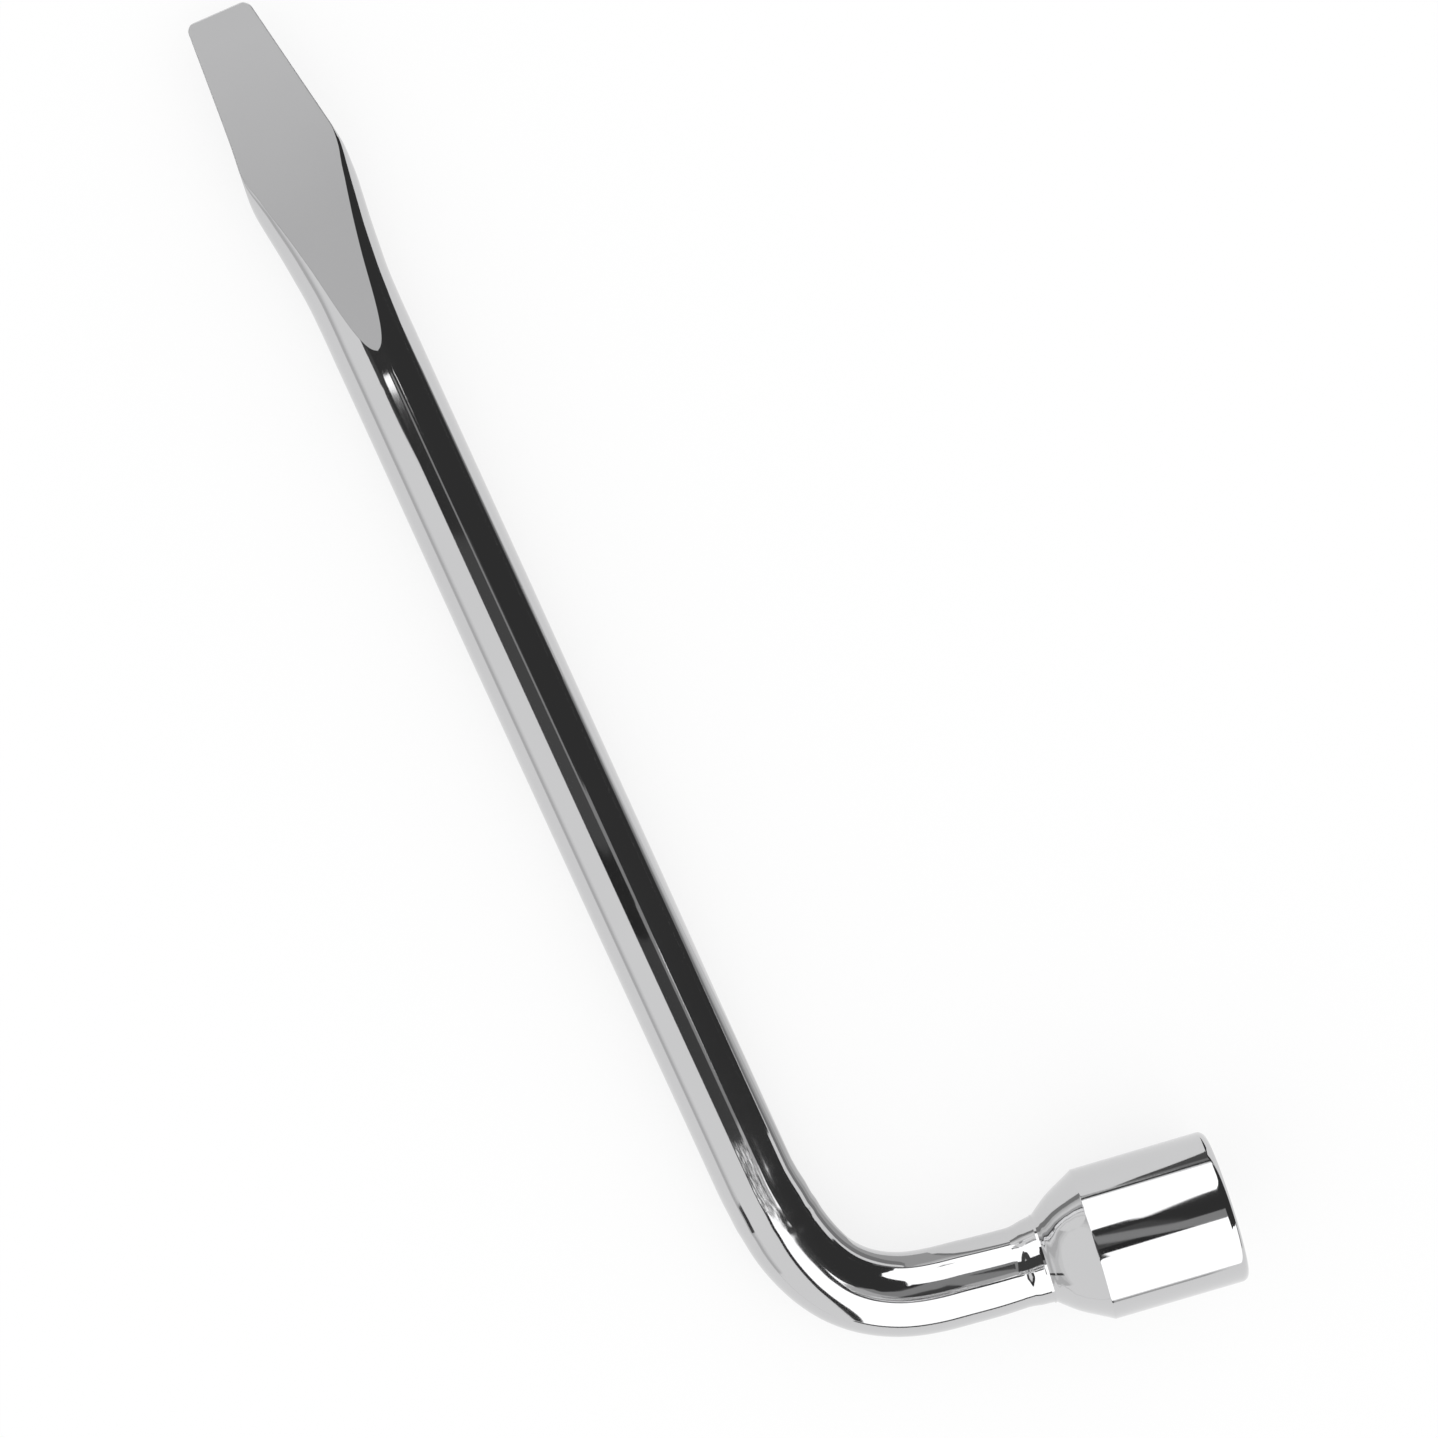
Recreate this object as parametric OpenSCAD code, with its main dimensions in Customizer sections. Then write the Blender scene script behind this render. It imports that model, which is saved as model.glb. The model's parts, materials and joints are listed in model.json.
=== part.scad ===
// L-shaped lug wrench in chromed steel, lying as it rests on a floor.
// A round bar is bent to an L. Its long arm ends in a forged pry blade, and the end
// of its short arm sits in a socket head and is welded to it all round.
// The long arm runs along +Y and the socket opens towards +X. The head is wider than
// the bar, so the short arm climbs a little, until the bar and the head's shoulder
// edge both touch the floor. The origin is the middle of the whole part, on the floor.

/* [Bar] */
// Diameter of the round bar
bar_d = 16; // [13:0.5:18]
// Long arm, from the corner where the two axes cross to the tip of the blade
long_arm = 274; // [220:1:400]
// Short arm, from the same corner to the mouth of the socket
short_arm = 82.2; // [78:0.2:140]
// Angle between the two arms
arm_angle = 96.5; // [90:0.5:105]
// Radius of the bend, at the middle of the bar
bend_r = 29; // [22:1:32]
// How much thinner the bar is drawn where it is bent
bend_draw = 0.04; // [0.02:0.01:0.3]

/* [Pry blade] */
// Length of the two flats, from the tip back to their point
flat_len = 65; // [50:1:90]
// Widest part of the blade
blade_w = 20; // [19:0.5:26]
// Length of the tapered blade, from the tip back to its widest part
blade_len = 31; // [20:1:45]
// Length over which the round bar flares out to the blade
flare_len = 33; // [20:1:40]
// Width of the tip
tip_w = 12.4; // [8:0.2:16]
// Thickness of the tip
tip_t = 2.6; // [1.6:0.2:4]
// How far the tip's middle lies from the bar's axis, as the blade was trimmed
tip_offset = 1; // [-2:0.1:2]
// Radius of the tip's two corners
tip_corner_r = 1.8; // [0.5:0.1:3]

/* [Socket head] */
// Outer diameter of the head
head_d = 30.2; // [29:0.2:36]
// Length of the head's straight barrel
barrel_len = 26.6; // [26:0.2:30]
// Length of the domed shoulder behind the barrel
shoulder_len = 10.4; // [9.4:0.2:12]
// How much the shoulder's slope turns from its rear edge to the barrel
shoulder_turn = 14; // [4:1:20]
// Radius of the mouth's outer edge
rim_r = 1.6; // [0.5:0.1:2]
// Hexagon across its flats
hex_af = 21; // [19:1:22]
// Depth of the hexagon
hex_depth = 18; // [14:0.5:20]
// How much wider than the hexagon's corners the lead-in opens
lead_in = 0.3; // [0.1:0.1:0.5]
// Diameter of the clearance hole for the wheel stud, behind the hexagon
stud_hole_d = 17; // [12:0.5:18]
// Length of the stud hole's straight wall
stud_hole_len = 6; // [4:0.5:7]
// Depth of the stud hole's coned bottom
stud_cone_len = 2.6; // [1:0.2:3]
// How deep the bar sits in the head
seat_depth = 8; // [5:0.5:8]

/* [Weld] */
// Length of the dressed weld along the bar
weld_len = 5.9; // [3:0.1:8]
// Height of the weld above the bar, at the head
weld_h = 1.3; // [0.8:0.1:1.8]

/* [Hidden] */
$fn = 96;
wide_arc_fn = 720;   // steps round a circle of which a long shallow arc is used
bend_lap = 0.5;      // how far the bend runs on inside each arm, so that the bar is one solid
spare = 1;           // how far a cutting shape stands past what it cuts

bar_r = bar_d / 2;
head_r = head_d / 2;
rear_r = bar_r + weld_h;                       // the head's rear edge, where the weld ends

// Stations along the short arm, measured from the corner
mouth_at = short_arm;
crease_at = mouth_at - barrel_len;             // the shoulder meets the barrel
rear_at = crease_at - shoulder_len;            // the head's rear face
weld_at = rear_at - weld_len;                  // the weld runs out on the bar
seat_at = rear_at + seat_depth;                // the end of the bar, inside the head
hex_floor_at = mouth_at - hex_depth;
stud_floor_at = hex_floor_at - stud_hole_len;

// Stations along the long arm, measured from the corner
blade_at = long_arm - blade_len;               // the widest place
flare_at = blade_at - flare_len;

// The bend joins both arms tangentially, tangent_len from the corner
turn = 180 - arm_angle;
tangent_len = bend_r * tan(turn / 2);

// The short arm rises until the lowest point of the shoulder edge is on the floor:
// bar_r + crease_at * rise = head_r * sqrt(1 - rise * rise), solved for rise
rest_a = crease_at * crease_at + head_r * head_r;
rest_b = bar_r * crease_at;
rise = (sqrt(rest_b * rest_b + rest_a * (head_r * head_r - bar_r * bar_r)) - rest_b) / rest_a;
droop = arm_angle - 90;                        // how far the short arm leans away from +X
roll = asin(rise / cos(droop));                // the short arm's turn about the long arm
axis_x = cos(droop) * cos(roll);
axis_y = -sin(droop);

// The part's limits, which place its middle over the origin
function reach(along) = (mouth_at - rim_r) * along + (head_r - rim_r) * sqrt(1 - along * along) + rim_r;
mid_x = (reach(axis_x) - blade_w / 2) / 2;
mid_y = (long_arm - reach(-axis_y)) / 2;

// Puts the two arms' corner and axes in their place above the floor
module at_rest() {
    translate([-mid_x, -mid_y, bar_r]) children();
}

// Turns something built along +Z into the short arm's direction, a distance from the corner
module on_short_arm(distance) {
    at_rest()
        rotate([0, -roll, 0]) rotate([0, 0, -droop]) rotate([0, 90, 0])
            translate([0, 0, distance]) children();
}

// The straight long arm before it is flattened: the bar and its flare, turned about +Y.
// The flare is a wide hollow arc that leaves the bar smoothly.
module long_arm_blank() {
    swell = blade_w / 2 - bar_r;
    hollow_r = (flare_len * flare_len + swell * swell) / (2 * swell);
    rotate([-90, 0, 0]) rotate_extrude() {
        translate([0, tangent_len]) square([bar_r, flare_at - tangent_len]);
        translate([0, flare_at]) difference() {
            square([blade_w / 2, flare_len]);
            translate([bar_r + hollow_r, 0]) circle(hollow_r, $fn = wide_arc_fn);
        }
        translate([0, blade_at]) square([blade_w / 2, blade_len]);
    }
}

// The blade seen from above: straight sides to a rounded tip, which lies tip_offset to one side
module blade_plan() {
    left = -tip_w / 2 - tip_offset;
    right = tip_w / 2 - tip_offset;
    left_lean = atan2(blade_w / 2 + left, blade_len);          // each side's lean from +Y
    right_lean = atan2(blade_w / 2 - right, blade_len);
    left_back = tip_corner_r * tan(45 - left_lean / 2);        // from a corner to its arc's ends
    right_back = tip_corner_r * tan(45 - right_lean / 2);
    translate([0, 0, -blade_w]) linear_extrude(2 * blade_w) {
        polygon([[-blade_w / 2, tangent_len], [blade_w / 2, tangent_len], [blade_w / 2, blade_at],
                 [right, long_arm] + right_back * [sin(right_lean), -cos(right_lean)],
                 [right - right_back, long_arm], [left + left_back, long_arm],
                 [left, long_arm] + left_back * [-sin(left_lean), -cos(left_lean)],
                 [-blade_w / 2, blade_at]]);
        translate([right - right_back, long_arm - tip_corner_r]) circle(tip_corner_r);
        translate([left + left_back, long_arm - tip_corner_r]) circle(tip_corner_r);
    }
}

// The blade seen from the side: two flats that start on the round bar and close to the tip
module blade_wedge() {
    flat_at = long_arm - flat_len;
    upper = [[flat_at, bar_r + spare], [flat_at, bar_r], [long_arm, tip_t / 2]];
    lower = [[long_arm, -tip_t / 2], [flat_at, -bar_r], [flat_at, -bar_r - spare]];
    back = [[tangent_len, -bar_r - spare], [tangent_len, bar_r + spare]];
    rotate([90, 0, 90]) translate([0, 0, -blade_w])
        linear_extrude(2 * blade_w) polygon(concat(upper, lower, back));
}

// The bend between the arms, which laps into both
module bend() {
    lap_turn = asin(bend_lap / bend_r);
    rotate([0, -roll, 0]) translate([bend_r, tangent_len, 0]) rotate([0, 0, 180 - lap_turn])
        rotate_extrude(angle = turn + 2 * lap_turn)
            translate([bend_r, 0]) circle(bar_r - bend_draw / 2);
}

// The bar: long arm with its blade, bend, and short arm up to its seat in the head
module shank() {
    color("silver") union() {
        at_rest() intersection() {
            long_arm_blank();
            blade_plan();
            blade_wedge();
        }
        at_rest() bend();
        on_short_arm(tangent_len) cylinder(h = seat_at - tangent_len, r = bar_r);
    }
}

// The head's solid outline, turned about its axis: domed shoulder, barrel and rounded rim
module head_body() {
    chord = [head_r - rear_r, shoulder_len];
    chord_lean = atan2(chord[0], chord[1]);                    // the shoulder's lean from the axis
    dome_r = norm(chord) / (2 * sin(shoulder_turn / 2));
    crease_angle = shoulder_turn / 2 - chord_lean;             // of the dome's radius to the crease
    rotate_extrude() {
        intersection() {
            translate([0, rear_at]) square([head_r, shoulder_len]);
            translate([head_r, crease_at] - dome_r * [cos(crease_angle), sin(crease_angle)])
                circle(dome_r, $fn = wide_arc_fn);
        }
        translate([0, crease_at]) square([head_r, barrel_len - rim_r]);
        translate([0, mouth_at - rim_r]) square([head_r - rim_r, rim_r]);
        intersection() {
            translate([head_r - rim_r, mouth_at - rim_r]) circle(rim_r);
            translate([head_r - rim_r, mouth_at - rim_r]) square(rim_r);
        }
    }
}

// The socket head: hexagon with its lead-in, stud hole behind it, and the bar's seat at the rear
module socket_head() {
    hex_corner_r = hex_af / 2 / cos(30);
    mouth_r = hex_corner_r + lead_in;
    lead_in_len = mouth_r - hex_af / 2;                           // a 45 degree lead-in
    color("gainsboro") on_short_arm(0) difference() {
        head_body();
        translate([0, 0, hex_floor_at]) cylinder(h = hex_depth + spare, r = hex_corner_r, $fn = 6);
        translate([0, 0, mouth_at - lead_in_len])
            cylinder(h = lead_in_len + spare, r1 = hex_af / 2, r2 = mouth_r + spare);
        translate([0, 0, stud_floor_at]) cylinder(h = stud_hole_len + spare, r = stud_hole_d / 2);
        translate([0, 0, stud_floor_at - stud_cone_len])
            cylinder(h = stud_cone_len, r1 = 0, r2 = stud_hole_d / 2);
        translate([0, 0, rear_at - spare]) cylinder(h = seat_depth + spare, r = bar_r);
    }
}

// The weld: a ring round the bar whose hollow arc leaves the bar smoothly and ends on the head
module neck_weld() {
    hollow_r = (weld_len * weld_len + weld_h * weld_h) / (2 * weld_h);
    color("silver") on_short_arm(weld_at) rotate_extrude() difference() {
        translate([bar_r, 0]) square([weld_h, weld_len]);
        translate([bar_r + hollow_r, 0]) circle(hollow_r, $fn = wide_arc_fn);
    }
}

shank();
socket_head();
neck_weld();
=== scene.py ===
# %% [markdown]
# # A chromed lug wrench, built cell by cell
# A lug wrench turns the nuts of a car's wheel. This one is a round steel bar bent to an
# L. The long arm is the handle, and its end is forged to a flat pry blade that lifts a
# hub cap. The short arm carries a socket head with a six-sided recess, held on by a weld.
# The whole tool is polished and chrome plated, so it has almost no colour of its own:
# what we see on it is the room, bent by its shape. That makes the shape of every surface,
# and what stands round the tool, matter more than any texture.
#
# The lesson loads the CAD model as a fixed frame, works out finer surfaces with numpy in
# the same place, gives them chrome, and lights them as a small product studio would.

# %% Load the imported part
import json
import math
import bpy
import numpy as np
from mathutils import Matrix, Vector

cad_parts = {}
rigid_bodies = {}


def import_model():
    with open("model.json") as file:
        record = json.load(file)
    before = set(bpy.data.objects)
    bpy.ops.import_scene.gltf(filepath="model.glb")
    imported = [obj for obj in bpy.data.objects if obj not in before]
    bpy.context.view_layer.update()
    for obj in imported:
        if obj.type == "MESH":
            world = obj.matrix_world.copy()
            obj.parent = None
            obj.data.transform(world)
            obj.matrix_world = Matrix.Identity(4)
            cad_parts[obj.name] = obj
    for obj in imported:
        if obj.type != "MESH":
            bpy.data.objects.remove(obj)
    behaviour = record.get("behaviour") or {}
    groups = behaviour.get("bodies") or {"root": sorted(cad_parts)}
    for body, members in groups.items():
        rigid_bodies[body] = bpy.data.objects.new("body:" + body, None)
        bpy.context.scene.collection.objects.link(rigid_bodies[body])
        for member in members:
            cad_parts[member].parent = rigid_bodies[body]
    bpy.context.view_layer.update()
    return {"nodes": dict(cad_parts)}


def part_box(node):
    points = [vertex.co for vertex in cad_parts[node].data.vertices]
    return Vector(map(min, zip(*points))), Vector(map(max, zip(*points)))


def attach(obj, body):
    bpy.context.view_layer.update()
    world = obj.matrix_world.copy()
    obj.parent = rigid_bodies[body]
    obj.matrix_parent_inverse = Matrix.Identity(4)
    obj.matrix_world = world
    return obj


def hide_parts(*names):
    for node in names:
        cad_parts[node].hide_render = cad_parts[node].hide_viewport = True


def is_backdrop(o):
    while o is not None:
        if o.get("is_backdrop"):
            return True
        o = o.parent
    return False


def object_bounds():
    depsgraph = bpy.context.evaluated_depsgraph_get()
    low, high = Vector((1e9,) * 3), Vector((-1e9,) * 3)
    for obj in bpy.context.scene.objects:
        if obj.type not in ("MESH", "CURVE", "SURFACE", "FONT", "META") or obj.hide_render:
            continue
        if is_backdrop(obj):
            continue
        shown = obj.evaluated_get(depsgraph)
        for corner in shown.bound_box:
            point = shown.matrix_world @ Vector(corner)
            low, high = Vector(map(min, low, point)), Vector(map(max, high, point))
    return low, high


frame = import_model()
print("CAD nodes:", sorted(frame["nodes"]))

# %% [markdown]
# ## Sizes
# The CAD model was drawn in millimetres from named sizes, and the same names are used
# here, so that each surface lands on the solid it stands for. Blender works in metres,
# so a mesh is scaled by MM at the very end. Where the tool lies is read from the CAD
# model's own boxes: the corner is the point where the axes of the two arms cross.

# %% The tool's sizes, in millimetres
MM = 0.001
BAR_R = 8.0
LONG_ARM, SHORT_ARM = 274.0, 82.2
ARM_ANGLE = math.radians(96.5)
BEND_R, BEND_DRAW = 29.0, 0.04
FLAT_LEN, TIP_T, TIP_CORNER_R = 65.0, 2.6, 1.5
BLADE_HALF = 10.0
HEAD_R, BARREL_LEN, SHOULDER_LEN, RIM_R = 15.1, 26.6, 10.4, 1.6
HEX_AF, HEX_DEPTH, LEAD_IN = 21.0, 18.0, 0.3
STUD_R, STUD_LEN, STUD_CONE = 8.5, 6.0, 2.6
SEAT_DEPTH, WELD_LEN, WELD_H = 8.0, 5.9, 1.3

CREASE_AT = SHORT_ARM - BARREL_LEN      # the shoulder meets the barrel
REAR_AT = CREASE_AT - SHOULDER_LEN      # the head's rear edge
WELD_AT = REAR_AT - WELD_LEN            # the weld runs out on the bar
SEAT_AT = REAR_AT + SEAT_DEPTH          # the end of the bar, inside the head
TIP_AT = LONG_ARM + 0.8                 # the real tip and mouth reach a little further
MOUTH_AT = SHORT_ARM + 0.8              # than the CAD's round numbers
BLADE_AT = LONG_ARM - 28.5              # the widest place of the blade
HEX_FLOOR_AT = SHORT_ARM - HEX_DEPTH
TURN = math.pi - ARM_ANGLE
TANGENT = BEND_R * math.tan(TURN / 2)   # the bend's reach along each arm
print(f"The bend turns {math.degrees(TURN):.1f} degrees, {TANGENT:.1f} mm along each arm")

# %% Where the tool lies
shank_low, shank_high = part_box("shank")
corner = np.array([shank_low.x / MM + BLADE_HALF, shank_high.y / MM - LONG_ARM, BAR_R])
# The short arm rises until the lowest point of the shoulder's crease is on the floor
rest_a, rest_b = CREASE_AT**2 + HEAD_R**2, BAR_R * CREASE_AT
rise = (math.sqrt(rest_b**2 + rest_a * (HEAD_R**2 - BAR_R**2)) - rest_b) / rest_a
DROOP = ARM_ANGLE - math.pi / 2
ROLL = math.asin(rise / math.cos(DROOP))
INWARD = np.array([math.cos(ROLL), 0, math.sin(ROLL)])    # in the L's plane, into the bend
UPWARD = np.array([-math.sin(ROLL), 0, math.cos(ROLL)])   # square to the L's plane
ALONG = np.array([0.0, 1.0, 0.0])                         # the long arm's axis
OUT = math.cos(DROOP) * INWARD - math.sin(DROOP) * ALONG  # the short arm's axis
ACROSS = np.cross(UPWARD, OUT)                            # square to the short arm
print("The arms cross at", corner.round(2), "and the L is rolled", round(math.degrees(ROLL), 2))

# %% [markdown]
# ## Camera
# The photograph looks almost straight down on the tool, from a little beyond its middle
# towards the blade, with the camera turned so that the long arm leans to the left. The
# lens is long, because the bar hardly gets thinner with distance. Place and aim are
# given in millimetres, and the turn about the line of sight in degrees.

# %% The camera
PHOTO = 1438                            # the photograph is square, in pixels
LENS, SENSOR = 75.0, 36.0
EYE = Vector((-43.259, 114.655, 562.400))
AIM = Vector((-6.773, -5.261, 8.0))
CAMERA_TURN = math.radians(23.915)

camera = bpy.data.objects.new("camera", bpy.data.cameras.new("camera"))
bpy.context.scene.collection.objects.link(camera)
bpy.context.scene.camera = camera
camera.data.lens, camera.data.sensor_width = LENS, SENSOR
camera.data.sensor_fit = "AUTO"
sight = (AIM - EYE).normalized()
level_up = (ALONG - np.dot(ALONG, sight) * np.array(sight))
level_up = Vector(level_up).normalized()
tilted_up = Matrix.Rotation(CAMERA_TURN, 3, sight) @ level_up
right = sight.cross(tilted_up)
axes = Matrix((right, tilted_up, -sight)).transposed()
camera.matrix_world = Matrix.Translation(EYE * MM) @ axes.to_4x4()
print("The camera is", round((AIM - EYE).length), "mm from what it aims at")


# %% What the photograph shows, in its own pixels
IMAGE_POINTS = {
    "left": (188, None),                    # the tool's limits
    "right": (1248.5, None),
    "top": (None, 2.5),
    "bottom": (None, 1338),
    "blade_left": (245, 187),               # the blade's widest place, on both sides
    "blade_right": (343, 143),
    "flat_point": (377, 350),               # where the flat runs out on the round bar
    "crease_far": (1069.5, 1168),           # the two ends of the line round the head
    "crease_near": (1114.6, 1318.4),
    "bend_left": (750, 1251),               # the outline of the bend
    "bend_low": (803, 1311),
}
print(len(IMAGE_POINTS), "image points")


# %% From a point to the picture
# Nothing is placed on a surface by the photograph, so no way back from it is needed.
def to_photo(points):
    """Row-frame points in mm to photograph pixels: offset along the camera's axes
    divided by depth, times the focal length in pixels, from the picture's middle."""
    offset = np.asarray(points, float) - np.array(EYE)
    depth = offset @ np.array(sight)
    pixels = PHOTO * LENS / SENSOR
    x = PHOTO / 2 + pixels * (offset @ np.array(right)) / depth
    y = PHOTO / 2 - pixels * (offset @ np.array(tilted_up)) / depth
    return np.stack([x, y], -1)


print("The corner of the two arms shows at", to_photo([corner])[0].round(1))

# %% [markdown]
# ## Surfaces from numpy
# A machined or forged part is mostly rings carried along an axis. So every piece here is
# a grid: one index runs along the piece and the other round it. The whole grid is worked
# out as one array, and one helper turns it into a closed mesh. Long straight stretches
# need few rings. Mirror-like metal shows every unevenness of a mesh, so wherever the
# shape turns, rings and points crowd together, and each sharp edge gets its own small
# rounding, as polished steel has.

# %% A grid of rings becomes a mesh
def add_rings(name, rings, is_hoop=False):
    """rings[i, j] is point j of ring i, in the row frame and in mm. Point j joins point
    j + 1 and the last joins the first. The end rings are closed by one flat face each,
    or in a hoop the last ring joins the first."""
    count, around = rings.shape[:2]
    index = np.arange(count * around).reshape(count, around)
    here = index if is_hoop else index[:-1]
    after = np.roll(index, -1, axis=0)[:len(here)]
    quads = np.stack([here, np.roll(here, -1, axis=1), np.roll(after, -1, axis=1), after], -1)
    faces = quads.reshape(-1, 4).tolist()
    if not is_hoop:
        faces += [index[0, ::-1].tolist(), index[-1].tolist()]
    mesh = bpy.data.meshes.new(name)
    mesh.from_pydata((rings.reshape(-1, 3) * MM).tolist(), [], faces)
    mesh.shade_smooth()
    obj = bpy.data.objects.new(name, mesh)
    bpy.context.scene.collection.objects.link(obj)
    return obj


def ease(x, start, end):
    """0 before start, 1 after end, and 3v^2 - 2v^3 between, v being the share gone."""
    v = np.clip((x - start) / (end - start), 0, 1)
    return v * v * (3 - 2 * v)


def through(x, stations, values):
    """A smooth line through measured values: a cubic on each stretch, whose slopes at
    its ends are those of the neighbouring values."""
    stations, values = np.array(stations, float), np.array(values, float)
    slopes = np.gradient(values, stations)
    x = np.clip(x, stations[0], stations[-1])
    i = np.clip(np.searchsorted(stations, x) - 1, 0, len(stations) - 2)
    gap = stations[i + 1] - stations[i]
    v = (x - stations[i]) / gap
    start = (2 * v**3 - 3 * v**2 + 1) * values[i] + (v**3 - 2 * v**2 + v) * gap * slopes[i]
    end = (3 * v**2 - 2 * v**3) * values[i + 1] + (v**3 - v**2) * gap * slopes[i + 1]
    return start + end


def least(a, b, sharpness=90.0):
    """The smaller of two lengths, rounded where they are equal: the sum of both to the
    power of minus the sharpness, brought back by the same power."""
    floor = np.minimum(a, b)
    return floor * ((a / floor) ** -sharpness + (b / floor) ** -sharpness) ** (-1 / sharpness)


print("A quarter of the way, ease has come to", ease(0.25, 0, 1))


# %% [markdown]
# ## The pry blade
# The blade starts as the round bar. The forge spreads it to the sides until it is 20 mm
# wide, and two flats are pressed on it that close to a thin tip. Where the flats run out
# on the round bar they end in a long point. Last, the sides are trimmed straight.
#
# One cross-section holds all of this. The spread bar is a superellipse, a circle-like
# curve whose exponent makes it fuller or leaner. The flat cuts its top, the trim cuts its
# side, and a small arc rounds the edge between. To keep that edge crisp, the points of
# the ring are dealt out by part: some to the flat, some to the edge and the rest to the
# side, so one row of points always runs along the edge.

# %% Sizes along the blade
FLAT_SHARE, EDGE_SHARE, SIDE_SHARE = 16, 8, 24          # points of a quarter ring
QUARTER = FLAT_SHARE + EDGE_SHARE + SIDE_SHARE
EDGE_R = 0.16                                           # rounding of the flat's edge
END_R = 0.35                                            # rounding of the tip's end edge
POINT_R = 7.95                                          # the bar where the flats start


def flat_height(y):
    """The flats close in a straight line from the bar to the tip, and the end edge of
    the tip is rounded by a quarter circle."""
    height = TIP_T / 2 + (LONG_ARM - y) * (BAR_R - TIP_T / 2) / FLAT_LEN
    beyond = np.clip(y - (TIP_AT - END_R), 0, END_R)
    return height - (END_R - np.sqrt(END_R**2 - beyond**2))


def spread(y):
    """Half the forged width, which grows from the bar's radius."""
    return through(y, [209.4, 216, 222, 226, 230.5, 236.3, 239, 242, 245, 275],
                   [7.95, 7.93, 8.08, 8.42, 8.85, 9.55, 9.86, 10.02, 10.1, 10.1])


def squash(y):
    """Half the forged height, if no flat cut it off: as the bar is spread, it loses
    height."""
    return through(y, [209.4, 216, 222, 226, 230.5, 236.3, 239.1, 241, 242, 243.3, 245, 275],
                   [7.95, 7.89, 7.84, 7.75, 7.67, 7.38, 7.2, 6.65, 6.3, 5.8, 5.4, 5.4])


def fullness(y):
    """The superellipse's exponent: 2 is round and more is squarer."""
    return through(y, [209.4, 236.3, 239.1, 241, 242, 243.3, 245, 275],
                   [2.0, 2.0, 2.1, 2.4, 2.65, 3.2, 4.0, 4.0])


def trim(y, side):
    """The trimmed side, seen from above. The right side is straight. The left one has a
    slight knee: a straight line plus a second one that fades out past the knee. A
    quarter circle rounds each corner of the tip."""
    if side > 0:
        line = 10.1 - 0.1745 * (y - 245)
    else:
        fading = 0.0481 * (252.6 - y)
        line = 8.65 - 0.0745 * (y - 252.6) + (fading + np.sqrt(fading**2 + 0.01)) / 2
    beyond = np.clip(y - (TIP_AT - TIP_CORNER_R), 0, TIP_CORNER_R)
    return line - (TIP_CORNER_R - np.sqrt(TIP_CORNER_R**2 - beyond**2))


print(f"At its widest the blade is {2 * spread(BLADE_AT):.1f} mm wide and "
      f"{2 * flat_height(BLADE_AT):.1f} mm thick")


# %% One quarter of the blade's cross-section
def blade_quarter(y, side):
    """For every station y, the points of a quarter ring from the middle of the flat to
    the middle of the side, as (x, z) with x and z not negative. The side is the smaller
    of the superellipse and the trim. The edge's arc is tangent to the flat and to the
    side, so it starts radius * tan(turn / 2) before the corner."""
    y = y[:, None]
    z_flat, wide, high, power = flat_height(y), spread(y), squash(y), fullness(y)

    def side_at(z):
        bulge = wide * (1 - np.clip(z / high, 0, 1) ** power) ** (1 / power)
        return least(np.maximum(bulge, 1e-3), trim(y, side))

    corner_x = side_at(z_flat)
    step = 0.04
    steep = (side_at(z_flat - step) - corner_x) / step
    turn = np.arctan2(1, steep)
    radius = np.minimum(EDGE_R, 0.4 * corner_x / np.tan(turn / 2))
    setback = radius * np.tan(turn / 2)
    v = np.linspace(0, 1, FLAT_SHARE, endpoint=False)
    flat = np.stack([(corner_x - setback) * (1 - (1 - v) ** 1.6), z_flat + 0 * v], -1)
    v = np.linspace(0, 1, EDGE_SHARE, endpoint=False) * turn
    edge = np.stack([corner_x - setback + radius * np.sin(v),
                     z_flat - radius * (1 - np.cos(v))], -1)
    end_x = corner_x - setback + radius * np.sin(turn)
    end_z = z_flat - radius * (1 - np.cos(turn))
    v = np.linspace(0, 1, SIDE_SHARE + 1)
    z = end_z * np.cos(v * math.pi / 2)
    mend = (end_x - side_at(end_z)) * (1 - v) ** 2
    below = np.stack([side_at(z) + mend, z], -1)
    return np.concatenate([flat, edge, below], axis=1)


def whole_ring(right_quarter, left_quarter):
    """Four quarters in order: top right, bottom right, bottom left, top left. The ends
    that two quarters share are kept once."""
    flip_z, flip_x = np.array([1, -1]), np.array([-1, 1])
    return np.concatenate([right_quarter[:, :-1],
                           right_quarter[:, :0:-1] * flip_z,
                           left_quarter[:, :-1] * flip_x * flip_z,
                           left_quarter[:, :0:-1] * flip_x], axis=1)


print("A ring of the blade has", 4 * QUARTER, "points")


# %% [markdown]
# ## The bar, its bend and the short arm
# The rest of the bar is round, so its rings only need a radius and a centre line: a
# straight line, an arc of 29 mm radius, and another straight line that ends in the head.
# The real bar isn't perfectly even. It was drawn down a little near the bend and near the
# blade, by less than 0.1 mm, which still shows in the width of its reflections.
#
# The points of the last blade ring are crowded at the flat's point. Over the next 20 mm
# they spread out evenly, which changes nothing in the shape of a round bar.

# %% The shank's rings
FIRST_FLAT = 209.35                     # the station where the flats are barely there
EVEN_BY = FIRST_FLAT - 20               # where the crowded points are evenly spread again


def bar_radius(y):
    """The round bar's radius, station by station."""
    return through(y, [26, 49, 69, 90, 130, 157, 175, 199, FIRST_FLAT],
                   [7.98, 7.93, 7.97, 8.03, 8.05, 8.05, 8.01, 7.95, POINT_R])


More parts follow.
